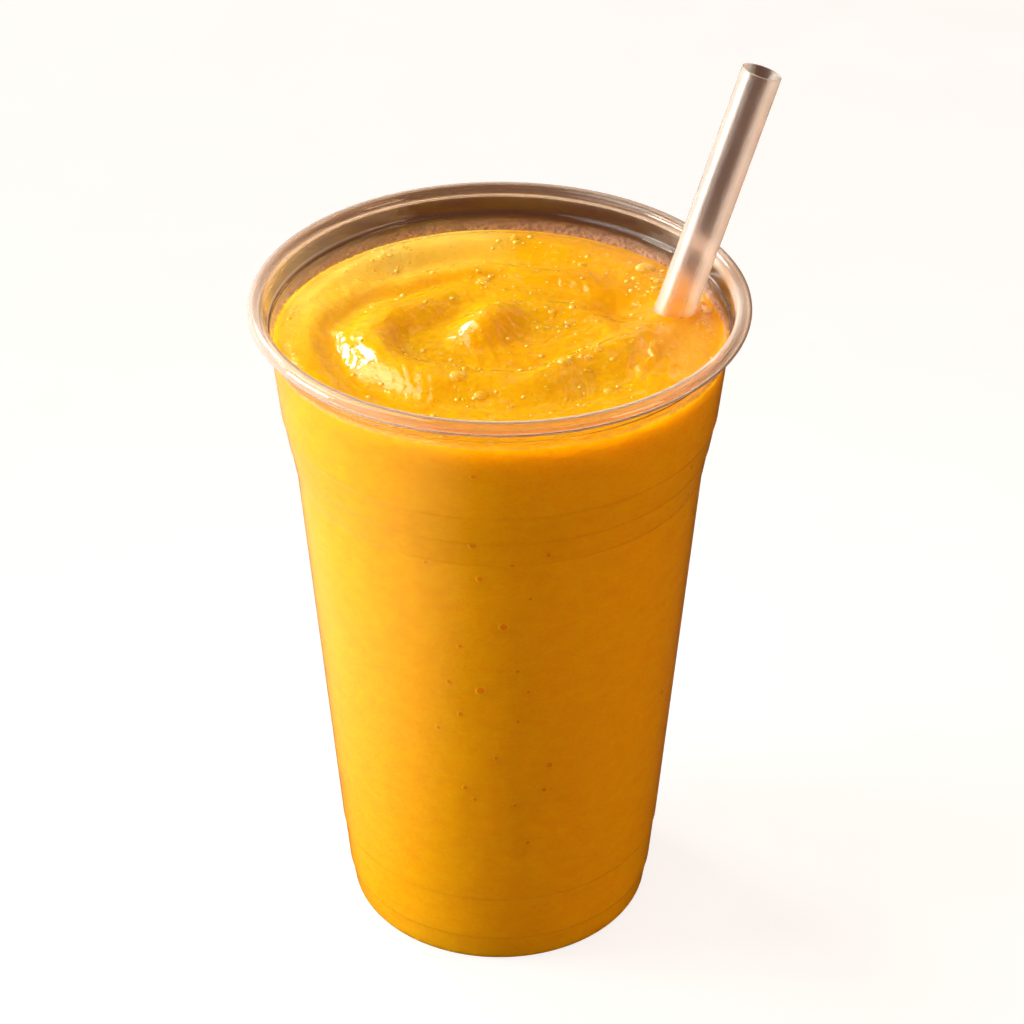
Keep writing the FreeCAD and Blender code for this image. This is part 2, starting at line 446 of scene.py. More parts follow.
def ripples(x, y):
    """Fine wrinkles of the skin: seeded waves that bend with one another, taller in
    the crinkled places than elsewhere."""
    chance = np.random.default_rng(3)
    total = np.zeros_like(x)
    bend = 2.2 * np.sin(0.21 * x + 0.4) + 1.9 * np.sin(0.17 * y - 1.1)
    for index in range(14):
        turn = chance.uniform(0.0, np.pi)
        length = chance.uniform(2.2, 8.0)
        phase = chance.uniform(0.0, 2.0 * np.pi)
        along = x * math.cos(turn) + y * math.sin(turn) + bend * (1 + 0.2 * index)
        total += length / 8.0 * np.sin(2.0 * np.pi * along / length + phase)
    right, back = x - SWIRL_CENTRE[0], y - SWIRL_CENTRE[1]
    reach, bearing = np.hypot(right, back), np.arctan2(back, right)
    for index in range(8):
        length = chance.uniform(1.9, 4.6)
        phase = chance.uniform(0.0, 2.0 * np.pi)
        wander = 1.6 * np.sin((1 + index % 3) * bearing + phase) + 0.1 * bearing * length
        patchy = 0.5 + 0.5 * np.sin((2 + index % 4) * bearing + 0.12 * reach - phase)
        wave = np.sin(2.0 * np.pi * (reach + wander) / length + phase)
        total += 0.7 * patchy * length / 4.6 * wave * np.clip(reach / 10.0, 0.0, 1.0)
    strength = np.full_like(x, 0.40)
    for place_x, place_y, size, extra in CRINKLES:
        strength += extra * hump(np.hypot(x - place_x, y - place_y), size)
    return strength * total / 3.0


def torn_edge(x, y):
    """A lip where a fold has broken: it rises slowly to a jagged line and then drops
    within a millimetre, and fades out towards both ends of the line."""
    start, end = np.array(LIP[0]), np.array(LIP[1])
    length = np.linalg.norm(end - start)
    along_x, along_y = (end - start) / length
    along = (x - start[0]) * along_x + (y - start[1]) * along_y
    past = (x - start[0]) * -along_y + (y - start[1]) * along_x
    past = past + 0.6 * np.sin(0.9 * along + 0.5) + 0.3 * np.sin(2.3 * along)
    rise = np.where(past < 0.0, smooth_step(1.0 + past / 7.0), 1.0)
    drop = 1.0 - smooth_step(past / 0.9)
    return LIP[2] * rise * drop * hump(along / length - 0.5, 0.62)


def surface_height(x, y):
    """Top of the drink: a shallow bowl with a puffed edge, folds, a mound and a dent,
    fine wrinkles, and a small rise where the drink wets the cup and the straw."""
    sizes = bpy.context.scene.smoothie_sizes
    fill = CUP_HEIGHT - sizes.fill_depth / MM
    drink_radius = float(wall_radius(fill)) - WALL
    reach = np.hypot(x, y)
    share = reach / drink_radius
    bowl = BOWL_DEPTH * (1.0 - smooth_step((share - 0.5) / 0.45))
    puff_height, puff_share, puff_width, puff_bearing = EDGE_PUFF
    side = 0.5 + 0.5 * np.cos(np.arctan2(y, x) - math.radians(puff_bearing))
    puff = puff_height * side * hump((share - puff_share) * drink_radius, puff_width)
    fade = 1.0 - smooth_step((share - SWIRL_FADE_SHARE) / (1.0 - SWIRL_FADE_SHARE))
    mound_x, mound_y, length, width, angle = MOUND
    turn = math.radians(angle)
    along = (x - mound_x) * math.cos(turn) + (y - mound_y) * math.sin(turn)
    across = (y - mound_y) * math.cos(turn) - (x - mound_x) * math.sin(turn)
    mound = sizes.mound_height / MM * hump(np.hypot(along / length, across / width), 1)
    total = np.exp(mound / FOLD_BLEND)
    for fold in FOLDS:
        height = sizes.fold_scale * fold_height(x, y, fold, drink_radius)
        total = total + np.exp(height / FOLD_BLEND)
    raised = FOLD_BLEND * np.log(total - len(FOLDS))
    dent = DENT[3] * hump(np.hypot(x - DENT[0], y - DENT[1]), DENT[2])
    height = fill - bowl + puff + fade * raised - dent
    height += sizes.ripple_depth / MM * ripples(x, y) * (1.0 - share**4)
    height += torn_edge(x, y)
    front = (0.5 - 0.5 * y / np.maximum(reach, 1.0)) ** 2
    climb = 0.15 + 2.9 * front
    height += climb * np.exp(-np.clip(drink_radius - reach, 0.0, None) / 0.6)
    top, _, axis = straw_line()
    foot = top + axis * (fill - top[2]) / axis[2]
    away = np.hypot(x - foot[0], y - foot[1]) - sizes.straw_diameter / MM / 2.0
    return height + 0.9 * np.exp(-np.clip(away, 0.0, None) / 1.1)


def froth_and_painted_light_share(x, y, edge):
    """Share of pale froth and painted light: most at the wall at the back left, patchy,
    and falling off towards the middle. Its spread over the back left is painted light.
    It is below zero, as painted shade, at the right and in a basin near the middle."""
    bearing = np.arctan2(y, x)
    # Painted light: paler towards the back left, the side the lamps stand on.
    side = np.clip(np.cos(bearing - math.radians(118.0)), 0.0, 1.0) ** 1.5
    patchy = 0.80 + 0.20 * np.sin(5.0 * bearing) * np.sin(0.35 * x + 0.2 * y)
    near = 1.0 - smooth_step((edge - np.hypot(x, y)) / 22.0)
    # Painted shade at the right, away from the lamps, and in a basin near the middle.
    painted_shade = smooth_step((0.87 * x + 0.5 * y - 12.0) / 18.0)
    painted_basin_shade = hump(np.hypot(x - 2.0, y + 4.0), 14.0)
    return side * patchy * near - 0.8 * painted_shade - 0.5 * painted_basin_shade


def straw_line():
    """Top of the straw's axis, and the axis's direction, in millimetres."""
    lean, heading = math.radians(STRAW_LEAN), math.radians(STRAW_HEADING)
    axis = np.array(
        (
            math.sin(lean) * math.cos(heading),
            math.sin(lean) * math.sin(heading),
            math.cos(lean),
        )
    )
    radius = bpy.context.scene.smoothie_sizes.straw_diameter / MM / 2.0
    reach = radius * np.sqrt(1.0 - axis**2)
    low, high = np.array(STRAW_LOW) / MM, np.array(STRAW_HIGH) / MM
    return high - reach, low + reach, axis


# --------------------------------------------------------------------- materials


def feed(tree, socket, source):
    """Links a source to a socket, or sets the socket to it where it isn't a socket."""
    if isinstance(source, bpy.types.NodeSocket):
        tree.links.new(source, socket)
    else:
        socket.default_value = source


def node(tree, kind, place, **values):
    """Adds one shader node. Values whose names match an input go to that input, and
    the rest are the node's own settings."""
    made = tree.nodes.new(kind)
    made.location = place
    for key, value in values.items():
        name = key.replace("_", " ")
        if name in made.inputs:
            feed(tree, made.inputs[name], value)
        else:
            setattr(made, key, value)
    return made


def maths(tree, place, operation, *terms):
    """One step of arithmetic on sockets or numbers."""
    made = node(tree, "ShaderNodeMath", place, operation=operation)
    for socket, term in zip(made.inputs, terms):
        feed(tree, socket, term)
    return made.outputs[0]


def ranged(tree, place, source, low, high, to_low=0.0, to_high=1.0):
    """Carries a value from the range low to high over to another range, and holds it
    at the ends."""
    made = node(tree, "ShaderNodeMapRange", place)
    for socket, value in zip(made.inputs, (source, low, high, to_low, to_high)):
        feed(tree, socket, value)
    return made.outputs["Result"]


def blend(tree, place, share, first, second):
    """Mixes two colours by a share from 0 to 1."""
    made = node(tree, "ShaderNodeMix", place, data_type="RGBA")
    for index, source in ((0, share), (6, first), (7, second)):
        feed(tree, made.inputs[index], source)
    return made.outputs[2]


def mix_shaders(tree, place, share, first, second):
    """Mixes two shaders by a share from 0 to 1."""
    made = node(tree, "ShaderNodeMixShader", place, Fac=share)
    feed(tree, made.inputs[1], first)
    feed(tree, made.inputs[2], second)
    return made.outputs["Shader"]


def ramp(tree, place, source, *stops):
    """Colour ramp through (position, colour) stops."""
    made = node(tree, "ShaderNodeValToRGB", place, Fac=source)
    elements = made.color_ramp.elements
    while len(elements) > 1:
        elements.remove(elements[-1])
    elements[0].position, elements[0].color = stops[0]
    for position, colour in stops[1:]:
        elements.new(position).color = colour
    return made.outputs["Color"]


def noise(tree, place, source, scale, detail):
    """Cloudy noise from 0 to 1."""
    made = node(tree, "ShaderNodeTexNoise", place, Scale=scale, Detail=detail)
    feed(tree, made.inputs["Vector"], source)
    return made.outputs["Fac"]


def surface(tree, place, **values):
    """A Principled surface."""
    return node(tree, "ShaderNodeBsdfPrincipled", place, **values).outputs["BSDF"]


def own_place(tree):
    """The object's own coordinates."""
    return node(tree, "ShaderNodeTexCoord", (-1200, 0)).outputs["Object"]


def axes(tree, place, source):
    """X, Y and Z of a place or a direction."""
    return node(tree, "ShaderNodeSeparateXYZ", place, Vector=source).outputs


def stored(tree, place, name):
    """A value that the mesh holds at each point."""
    made = node(tree, "ShaderNodeAttribute", place, attribute_name=name)
    return made.outputs["Fac"]


def edge_on(tree, place):
    """0 where the surface is seen square on and 1 where it is seen edge on."""
    return node(tree, "ShaderNodeLayerWeight", place, Blend=0.5).outputs["Facing"]


def fresh(name):
    """A material with an empty node tree and its output's surface socket."""
    material = bpy.data.materials.new(name)
    material.use_nodes = True
    tree = material.node_tree
    tree.nodes.clear()
    out = node(tree, "ShaderNodeOutputMaterial", (900, 0))
    return material, tree, out.inputs["Surface"]


def rgba(colour):
    return (colour[0], colour[1], colour[2], 1.0)


def pulp_group():
    """Fruit pulp: a mottled mask and a fine bumpy height, both from noise on the
    object's own coordinates."""
    found = bpy.data.node_groups.get("Pulp")
    if found:
        return found
    group = bpy.data.node_groups.new("Pulp", "ShaderNodeTree")
    face = group.interface
    face.new_socket("Coordinates", in_out="INPUT", socket_type="NodeSocketVector")
    face.new_socket("Scale", in_out="INPUT", socket_type="NodeSocketFloat")
    face.new_socket("Mottle", in_out="OUTPUT", socket_type="NodeSocketFloat")
    face.new_socket("Height", in_out="OUTPUT", socket_type="NodeSocketFloat")
    given = node(group, "NodeGroupInput", (-800, 0)).outputs
    out = node(group, "NodeGroupOutput", (600, 0))
    where, scale = given["Coordinates"], given["Scale"]
    finer = maths(group, (-600, -100), "MULTIPLY", scale, 4.5)
    broad, fine = (
        node(
            group,
            "ShaderNodeTexNoise",
            place,
            Vector=where,
            Scale=size,
            Detail=detail,
            Roughness=roughness,
        ).outputs["Fac"]
        for place, size, detail, roughness in (
            ((-400, 200), scale, 3.0, 0.6),
            ((-400, -50), finer, 2.0, 0.55),
        )
    )
    even = node(group, "ShaderNodeMix", (-200, 300), Factor=0.5, A=broad, B=fine)
    mottle = ranged(group, (0, 200), even.outputs["Result"], 0.32, 0.68)
    feed(group, out.inputs["Mottle"], mottle)
    height = maths(group, (0, -50), "MULTIPLY_ADD", fine, 0.16, broad)
    feed(group, out.inputs["Height"], height)
    return group


def drink_material():
    """Thick wet mango: mottled yellow with light scattering under the skin, glossy on top
    and dull where it lies against the wall. A stored share makes it paler for froth and
    painted light, and deeper for painted shade."""
    colours = bpy.context.scene.smoothie_colours
    material, tree, out = fresh("Mango smoothie")
    place = own_place(tree)
    open_top = stored(tree, (-850, 350), "open_top")
    froth_and_painted_light = stored(tree, (-850, 700), "froth_and_painted_light")
    flat = node(tree, "ShaderNodeVectorMath", (-1000, 150), operation="MULTIPLY")
    feed(tree, flat.inputs[0], place)
    flat.inputs[1].default_value = (1.0, 1.0, 1.7)
    pulp = node(tree, "ShaderNodeGroup", (-850, 100), node_tree=pulp_group(), Scale=230.0)
    feed(tree, pulp.inputs["Coordinates"], flat.outputs["Vector"])
    tone = ramp(
        tree,
        (-550, 250),
        pulp.outputs["Mottle"],
        (0.0, rgba(colours.drink_deep)),
        (1.0, rgba(colours.drink)),
    )
    # Below zero the stored share darkens towards the painted shade colour; above zero it
    # pales towards froth and painted light.
    painted_shade_share = maths(tree, (-550, 850), "MULTIPLY", froth_and_painted_light, -1.0)
    painted_shade = blend(tree, (-400, 650), painted_shade_share, tone, rgba(colours.painted_shade))
    cells = node(tree, "ShaderNodeTexVoronoi", (-850, -250), Vector=place, Scale=700.0)
    spots = ranged(tree, (-550, -250), cells.outputs["Distance"], 0.0, 0.35, 0.28, 0.0)
    height = maths(tree, (-300, -150), "ADD", pulp.outputs["Height"], spots)
    bump = node(tree, "ShaderNodeBump", (-50, -200), Height=height, Distance=0.0006)
    strength = ranged(tree, (-300, -400), open_top, 0.0, 1.0, 0.25, 0.50)
    feed(tree, bump.inputs["Strength"], strength)
    skin = surface(
        tree,
        (300, 0),
        IOR=1.45,
        subsurface_method="BURLEY",
        Subsurface_Weight=1.0,
        Subsurface_Radius=(1.0, 0.6, 0.1),
        Subsurface_Scale=0.007,
        Base_Color=blend(tree, (-250, 400), froth_and_painted_light, painted_shade, rgba(colours.froth_and_painted_light)),
        Roughness=ranged(tree, (-550, 0), open_top, 0.0, 1.0, 0.55, 0.10),
        Specular_IOR_Level=ranged(tree, (-550, 500), open_top, 0.0, 1.0, 0.05, 0.8),
        Normal=bump.outputs["Normal"],
    )
    feed(tree, out, skin)
    return material


def lets_lamps_through(tree, shader, clear, out):
    """Joins a shader to the output so that lamps shine through it, tinted by clear."""
    rays = node(tree, "ShaderNodeLightPath", (300, 350))
    shade = node(tree, "ShaderNodeBsdfTransparent", (300, 120), Color=clear)
    pick = (rays.outputs["Is Shadow Ray"], shader, shade.outputs["BSDF"])
    feed(tree, out, mix_shaders(tree, (650, 100), *pick))


def cup_material():
    """Clear plastic that lets lamps through, with a painted warm tint above the ledge that
    stands in for brown surroundings seen through the free wall and rim. The rolled rim
    is a little milky where it is seen edge on."""
    colours = bpy.context.scene.smoothie_colours
    material, tree, out = fresh("Clear cup plastic")
    height = axes(tree, (-800, 0), own_place(tree))["Z"]
    # A painted warm tint above the ledge, standing in for brown surroundings seen through
    # the plastic.
    painted_surroundings_share = ranged(
        tree, (-600, 0), height, (LEDGE_HEIGHT - 4.5) * MM, (LEDGE_HEIGHT - 1.0) * MM
    )
    clear = surface(
        tree,
        (0, 0),
        IOR=1.43,
        Roughness=0.01,
        Transmission_Weight=1.0,
        Base_Color=blend(
            tree, (-300, 100), painted_surroundings_share, rgba(colours.clear), rgba(colours.painted_surroundings_tint)
        ),
    )
    milky = surface(tree, (0, -700), Base_Color=rgba(colours.haze), Roughness=0.25)
    curl = ranged(
        tree, (-300, 400), height, (CUP_HEIGHT - 3.4) * MM, (CUP_HEIGHT - 2.6) * MM
    )
    outline = ranged(tree, (-300, 650), edge_on(tree, (-600, 600)), 0.25, 0.7, 0.02, 0.45)
    share = maths(tree, (0, 500), "MULTIPLY", curl, outline)
    both = mix_shaders(tree, (250, -200), share, clear, milky)
    lets_lamps_through(tree, both, (0.96, 0.95, 0.93, 1.0), out)
    return material


def straw_material():
    """Milky translucent plastic: cloudy at its sides, see-through in the middle."""
    colours = bpy.context.scene.smoothie_colours
    material, tree, out = fresh("Translucent straw")
    streak = noise(tree, (-800, -200), own_place(tree), 90.0, 2.0)
    common = {
        "Base_Color": rgba(colours.straw),
        "IOR": 1.49,
        "Roughness": ranged(tree, (-600, -200), streak, 0.0, 1.0, 0.16, 0.28),
    }
    milk = surface(
        tree,
        (-300, 0),
        Subsurface_Weight=1.0,
        Subsurface_Radius=(1.0, 0.8, 0.7),
        Subsurface_Scale=0.003,
        **common,
    )
    clear = surface(tree, (-300, -450), Transmission_Weight=1.0, **common)
    facing = edge_on(tree, (-600, 300))
    share = ranged(tree, (-300, 300), facing, 0.06, 0.30, 0.02, 0.35)
    both = mix_shaders(tree, (0, 0), share, clear, milk)
    lets_lamps_through(tree, both, (0.75, 0.68, 0.62, 1.0), out)
    return material


def foam_material():
    """Thin foam of tiny bubbles that lets about half the light through."""
    colours = bpy.context.scene.smoothie_colours
    material, tree, out = fresh("Foam film")
    place = own_place(tree)
    cells = node(tree, "ShaderNodeTexVoronoi", (-800, 0), Vector=place, Scale=1100.0)
    cloud = noise(tree, (-800, -250), place, 260.0, 2.0)
    both = maths(tree, (-550, -100), "MULTIPLY", cells.outputs["Distance"], cloud)
    share = ranged(tree, (-300, -100), both, 0.05, 0.35, 0.10, 0.75)
    height = axes(tree, (-800, -500), place)["Z"]
    top, full = (LEDGE_HEIGHT - 0.8) * MM, (LEDGE_HEIGHT - 3.5) * MM
    fade = ranged(tree, (-550, -500), height, top, full)
    film = surface(
        tree,
        (200, 0),
        Base_Color=rgba(colours.foam),
        Roughness=0.35,
        Alpha=maths(tree, (-50, -50), "MULTIPLY", share, fade),
    )
    feed(tree, out, film)
    return material


def bubble_material(name, least):
    """Bubble skins in the drink's colour. Least is how much they hide in the middle,
    and where it is below 1 they hide more towards the edge."""
    colours = bpy.context.scene.smoothie_colours
    material, tree, out = fresh(name)
    swirl = noise(tree, (-600, 0), own_place(tree), 500.0, 2.0)
    stops = (0.35, rgba(colours.drink)), (0.65, rgba(colours.froth_and_painted_light))
    cover = 1.0
    if least < 1.0:
        facing = edge_on(tree, (-600, -300))
        cover = ranged(tree, (-350, -300), facing, 0.15, 0.70, least, 0.80)
    skin = surface(
        tree,
        (0, 0),
        Roughness=0.06,
        IOR=1.38,
        Coat_Weight=0.6,
        Coat_Roughness=0.04,
        Alpha=cover,
        Base_Color=ramp(tree, (-350, 0), swirl, *stops),
    )
    feed(tree, out, skin)
    return material


def pocket_material():
    """Air pockets at the wall: dark in the middle as painted shade in the hollow, with a
    pale edge as a painted bright rim.
    """
    material, tree, out = fresh("Wall air pocket")
    tone = ramp(
        tree,
        (-450, 0),
        stored(tree, (-700, 0), "from_middle"),
        (0.0, (0.80, 0.26, 0.0, 1)),
        (0.62, (0.82, 0.29, 0.0, 1)),
        (0.80, (0.95, 0.58, 0.01, 1)),
        (1.0, (0.92, 0.50, 0.002, 1)),
    )
    skin = surface(
        tree, (0, 0), Roughness=0.6, Specular_IOR_Level=0.05, Base_Color=tone
    )
    feed(tree, out, skin)
    return material


def floor_material():
    """Plain pale floor with a very faint grain. What the object mirrors of it, and the
    light it throws back, are those of a warm brown table, paler at the left."""
    colours = bpy.context.scene.smoothie_colours
    material, tree, out = fresh("Pale floor")
    place = own_place(tree)
    grain = noise(tree, (-700, 0), place, 30.0, 2.0)
    low = [channel * 0.985 for channel in colours.floor]
    tone = ramp(tree, (-450, 0), grain, (0.3, rgba(low)), (0.7, rgba(colours.floor)))
    split = axes(tree, (-700, -300), place)
    beyond = ranged(tree, (-450, -600), split["Y"], 0.06, 0.12)
    table = blend(
        tree, (-350, -400), beyond, rgba(colours.table), rgba(colours.table_far)
    )
    left = ranged(tree, (-450, -300), split["X"], -0.035, -0.11)
    table = blend(tree, (-250, -200), left, table, rgba(colours.table_left))
    rays = node(tree, "ShaderNodeLightPath", (-450, 350))
    seen = rays.outputs["Is Camera Ray"]
    pick = blend(tree, (-100, 100), seen, table, tone)
    matt = node(tree, "ShaderNodeVectorMath", (50, 250), operation="SCALE", Vector=pick)
    share = maths(tree, (-100, 550), "MULTIPLY_ADD", seen, -0.7, 1.0)
    feed(tree, matt.inputs["Scale"], share)
    skin = surface(
        tree,
        (200, 0),
        Roughness=0.7,
        Base_Color=matt.outputs["Vector"],
        Emission_Color=pick,
        Emission_Strength=maths(tree, (-100, 400), "MULTIPLY", seen, 0.95),
    )
    feed(tree, out, skin)
    return material


def studio_world():
    """Even studio light: pale where it is looked at. What lights the object runs from
    a darker level all round to a lighter one overhead, with a bright window side and
    two level strips of light."""
    colours = bpy.context.scene.smoothie_colours
    world = bpy.data.worlds.new("studio")
    world.use_nodes = True
    tree = world.node_tree
    tree.nodes.clear()
    out = node(tree, "ShaderNodeOutputWorld", (300, 0))
    place = node(tree, "ShaderNodeTexCoord", (-900, 0)).outputs["Generated"]
    toward = axes(tree, (-700, 0), place)
    stops = (0.25, rgba(colours.walls)), (0.80, rgba(colours.ceiling))
    light = ramp(tree, (-500, 0), toward["Z"], *stops)
    left = ranged(tree, (-500, -300), toward["X"], -0.45, -0.80)
    light = blend(tree, (-350, -100), left, light, rgba(colours.window))
    rays = node(tree, "ShaderNodeLightPath", (-500, 300))
    seen = rays.outputs["Is Camera Ray"]
    pick = blend(tree, (-200, 0), seen, light, rgba(colours.floor))
    sky = node(tree, "ShaderNodeBackground", (50, 0), Color=pick)
    dark, bright = (0.0, 0.0, 0.0, 1.0), (1.0, 1.0, 1.0, 1.0)
    strips = []
    for low in (0.25, 0.74):
        edges = (low - 0.01, dark), (low, bright), (low + 0.03, bright), (low + 0.04, dark)
        strips += edges
    glow = ramp(tree, (-500, -600), toward["Z"], *strips)
    power = maths(tree, (-200, -600), "MULTIPLY", glow, 1.6)
    unseen = maths(tree, (-200, -350), "SUBTRACT", 1.0, seen)
    amount = maths(tree, (0, -500), "MULTIPLY", power, unseen)
    tubes = node(tree, "ShaderNodeBackground", (50, -250), Color=rgba(colours.strip))
    feed(tree, tubes.inputs["Strength"], amount)
    total = node(tree, "ShaderNodeAddShader", (200, -100))
    feed(tree, total.inputs[0], sky.outputs["Background"])
    feed(tree, total.inputs[1], tubes.outputs["Background"])
    feed(tree, out.inputs["Surface"], total.outputs["Shader"])
    return world


# --------------------------------------------------------------------- operators


class SMOOTHIE_OT_cup(bpy.types.Operator):
    """Builds the clear cup with its rings, ledge and curled rim"""

    bl_idname = "smoothie.cup"
    bl_label = "Cup"

    def execute(self, context):
        points, faces = turned(cup_profile(), 256)
        piece = put_mesh("cup_wall", points, faces, cup_material())
        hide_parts("cup")
        return {"FINISHED"}


class SMOOTHIE_OT_drink(bpy.types.Operator):
    """Builds the smoothie up to its swirled top, reaching just into the cup's wall"""

    bl_idname = "smoothie.drink"
    bl_label = "Drink"

    def execute(self, context):
        sizes = context.scene.smoothie_sizes
        columns = 400
        angle = bearings(columns)
        fill = CUP_HEIGHT - sizes.fill_depth / MM
        edge = float(wall_radius(fill)) - WALL + INTO_WALL
        share = np.linspace(0.0, 1.0, 150)[1:]
        radius = (edge * share)[:, None]
        x, y = radius * np.cos(angle), radius * np.sin(angle)
        top = np.stack((x, y, surface_height(x, y)), -1)
        rim = top[-1, :, 2]
        levels = np.concatenate(
            [np.linspace(FOOT_CORNER, fill - 2.5, 26)]
            + [np.linspace(z - RING_REACH, z + RING_REACH, 8) for z in RINGS[:-1, 0]]
        )
        levels = np.unique(np.round(levels, 3))[::-1]
        near_top = rim + (fill - 2.0 - rim) * np.linspace(0.0, 1.0, 5)[1:, None]
        lower = np.broadcast_to(levels[:, None], (len(levels), columns))
        height = np.vstack((near_top, lower))
        side = round_axis(wall_radius(height) - WALL + INTO_WALL, height, angle)
        corner = (FOOT_RADIUS - FOOT_CORNER, FOOT_CORNER)
        inner_foot = FOOT_RADIUS - FOOT_WIDTH
        floor = BASE_RECESS + WALL - INTO_WALL
        low = np.vstack(
            (
                arc(corner, FOOT_CORNER - WALL + INTO_WALL, 0.0, -90.0, 7)[1:],
                [(inner_foot + WALL / 2.0, WALL - INTO_WALL)],
                [(inner_foot - RECESS_SLOPE + WALL / 2.0, floor), (10.0, floor)],
            )
        )
        foot = round_axis(low[:, :1], low[:, 1:], angle)
        rows = np.vstack((top, side, foot))
        middle = float(surface_height(np.zeros(1), np.zeros(1))[0])
        points = np.vstack(
            (rows.reshape(-1, 3), [(0.0, 0.0, middle), (0.0, 0.0, floor)])
        )
        faces = turned_faces(len(rows), columns)
        piece = put_mesh("smoothie_fill", points, faces, drink_material())
        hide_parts("smoothie")
        on_top = np.arange(len(points)) < top.size // 3
        on_top[-2] = True
        # Painted shade on the body: a deeper colour round the back left, where the lamps
        # shine hardest. The top's share holds froth, painted light and painted shade.
        behind = np.arctan2(points[:, 1], points[:, 0]) - math.radians(125.0)
        behind = np.abs((behind + np.pi) % (2.0 * np.pi) - np.pi)
        froth_and_painted_light = -0.4 * hump(behind, math.radians(75.0))
        froth_and_painted_light[: x.size] = froth_and_painted_light_share(x, y, edge).ravel()
        for name, values in (("open_top", on_top), ("froth_and_painted_light", froth_and_painted_light)):
            layer = piece.data.attributes.new(name, "FLOAT", "POINT")
            layer.data.foreach_set("value", values.astype(np.float32))
        return {"FINISHED"}


class SMOOTHIE_OT_foam(bpy.types.Operator):
    """Builds the film of foam between the drink and the ledge"""

    bl_idname = "smoothie.foam"
    bl_label = "Foam film"

    def execute(self, context):
        sizes = context.scene.smoothie_sizes
        columns = 360
        angle = bearings(columns)
        low = CUP_HEIGHT - sizes.fill_depth / MM - 1.0
        high = LEDGE_HEIGHT - 0.6
        share = np.linspace(0.0, 1.0, 14)[:, None]
        wave = 0.25 * np.sin(7 * angle) + 0.15 * np.sin(17 * angle + 1.0)
        height = low + (high + wave - low) * share
        wall = wall_radius(height) - WALL
        thick = sizes.foam_thickness / MM * (0.25 + 0.75 * (1.0 - share) ** 0.7)
        thick = thick * (1.0 + 0.25 * np.sin(29 * angle + 9 * share))
        thick = thick * np.minimum(1.0, (1.0 - share) * 6.0 + 0.05)
        inner = round_axis(wall - thick, height, angle)
        outer = round_axis(wall + INTO_WALL / 2.0, height, angle)
        rows = np.vstack((inner, outer[::-1]))
        faces = turned_faces(len(rows), columns, loop=True)
        put_mesh("foam_film", rows.reshape(-1, 3), faces, foam_material())
        return {"FINISHED"}


def ellipsoids(centres, across, up, columns, rows, axis_out=None):
    """Closed ellipsoids as one point array: latitude rows between two poles. Their
    own up axis is Z, or axis_out for pockets that lie against the wall."""
    latitude = np.linspace(0.0, np.pi, rows + 2)[1:-1]
    across_row, up_row = np.sin(latitude)[:, None], np.cos(latitude)[:, None]
    unit = round_axis(across_row, up_row, bearings(columns)).reshape(-1, 3)
    unit = np.vstack((unit, [(0, 0, 1), (0, 0, -1)]))
    count = len(centres)
    scaled = unit[None] * np.stack((across, across, up), -1)[:, None, :]
    if axis_out is not None:
        side = np.stack((-axis_out[:, 1], axis_out[:, 0], np.zeros(count)), -1)
        above = np.broadcast_to(np.array((0.0, 0.0, 1.0)), (count, 3))
        basis = np.stack((side, above, axis_out), 1)
        scaled = np.einsum("nij,njk->nik", scaled, basis)
    points = centres[:, None, :] + scaled
    faces = []
    for index in range(count):
        faces += turned_faces(rows, columns, index * len(unit))
    from_middle = np.tile(np.hypot(unit[:, 0], unit[:, 1]), count)
    return points.reshape(-1, 3), faces, from_middle


class SMOOTHIE_OT_bubbles(bpy.types.Operator):
    """Scatters bubbles on the drink: the larger ones placed, the small ones seeded"""

    bl_idname = "smoothie.bubbles"
    bl_label = "Bubbles"

    def execute(self, context):
        sizes = context.scene.smoothie_sizes
        skin = bubble_material("Bubble skin", 0.30)
        large = np.array(TOP_BUBBLES)
        high = surface_height(large[:, 0], large[:, 1])
        centres = np.stack((large[:, 0], large[:, 1], high - 0.25 * large[:, 2]), -1)
        points, faces, _ = ellipsoids(
            centres, large[:, 2], large[:, 2] * large[:, 3], 24, 14
        )
        put_mesh("large_bubbles", points, faces, skin)

        chance = np.random.default_rng(11)
        count = sizes.small_bubbles
        cluster = chance.integers(0, len(large), count)
        near = chance.random(count) < 0.55
        spread = chance.normal(0.0, 3.2, (count, 2))
        radius = SCATTER_RADIUS * np.sqrt(chance.random(count))
        turn = chance.random(count) * 2.0 * np.pi
        x = np.where(near, large[cluster, 0] + spread[:, 0], radius * np.cos(turn))
        y = np.where(near, large[cluster, 1] + spread[:, 1], radius * np.sin(turn))
        inside = np.hypot(x, y) < SCATTER_RADIUS + 0.5
        x, y = x[inside], y[inside]
        size = 0.20 + 0.50 * chance.random(len(x)) ** 2.5
        centres = np.stack((x, y, surface_height(x, y) - 0.15 * size), -1)
        points, faces, _ = ellipsoids(centres, size, size * 0.65, 10, 5)
        skin = bubble_material("Small bubble skin", 1.0)
        put_mesh("small_bubbles", points, faces, skin)
        return {"FINISHED"}


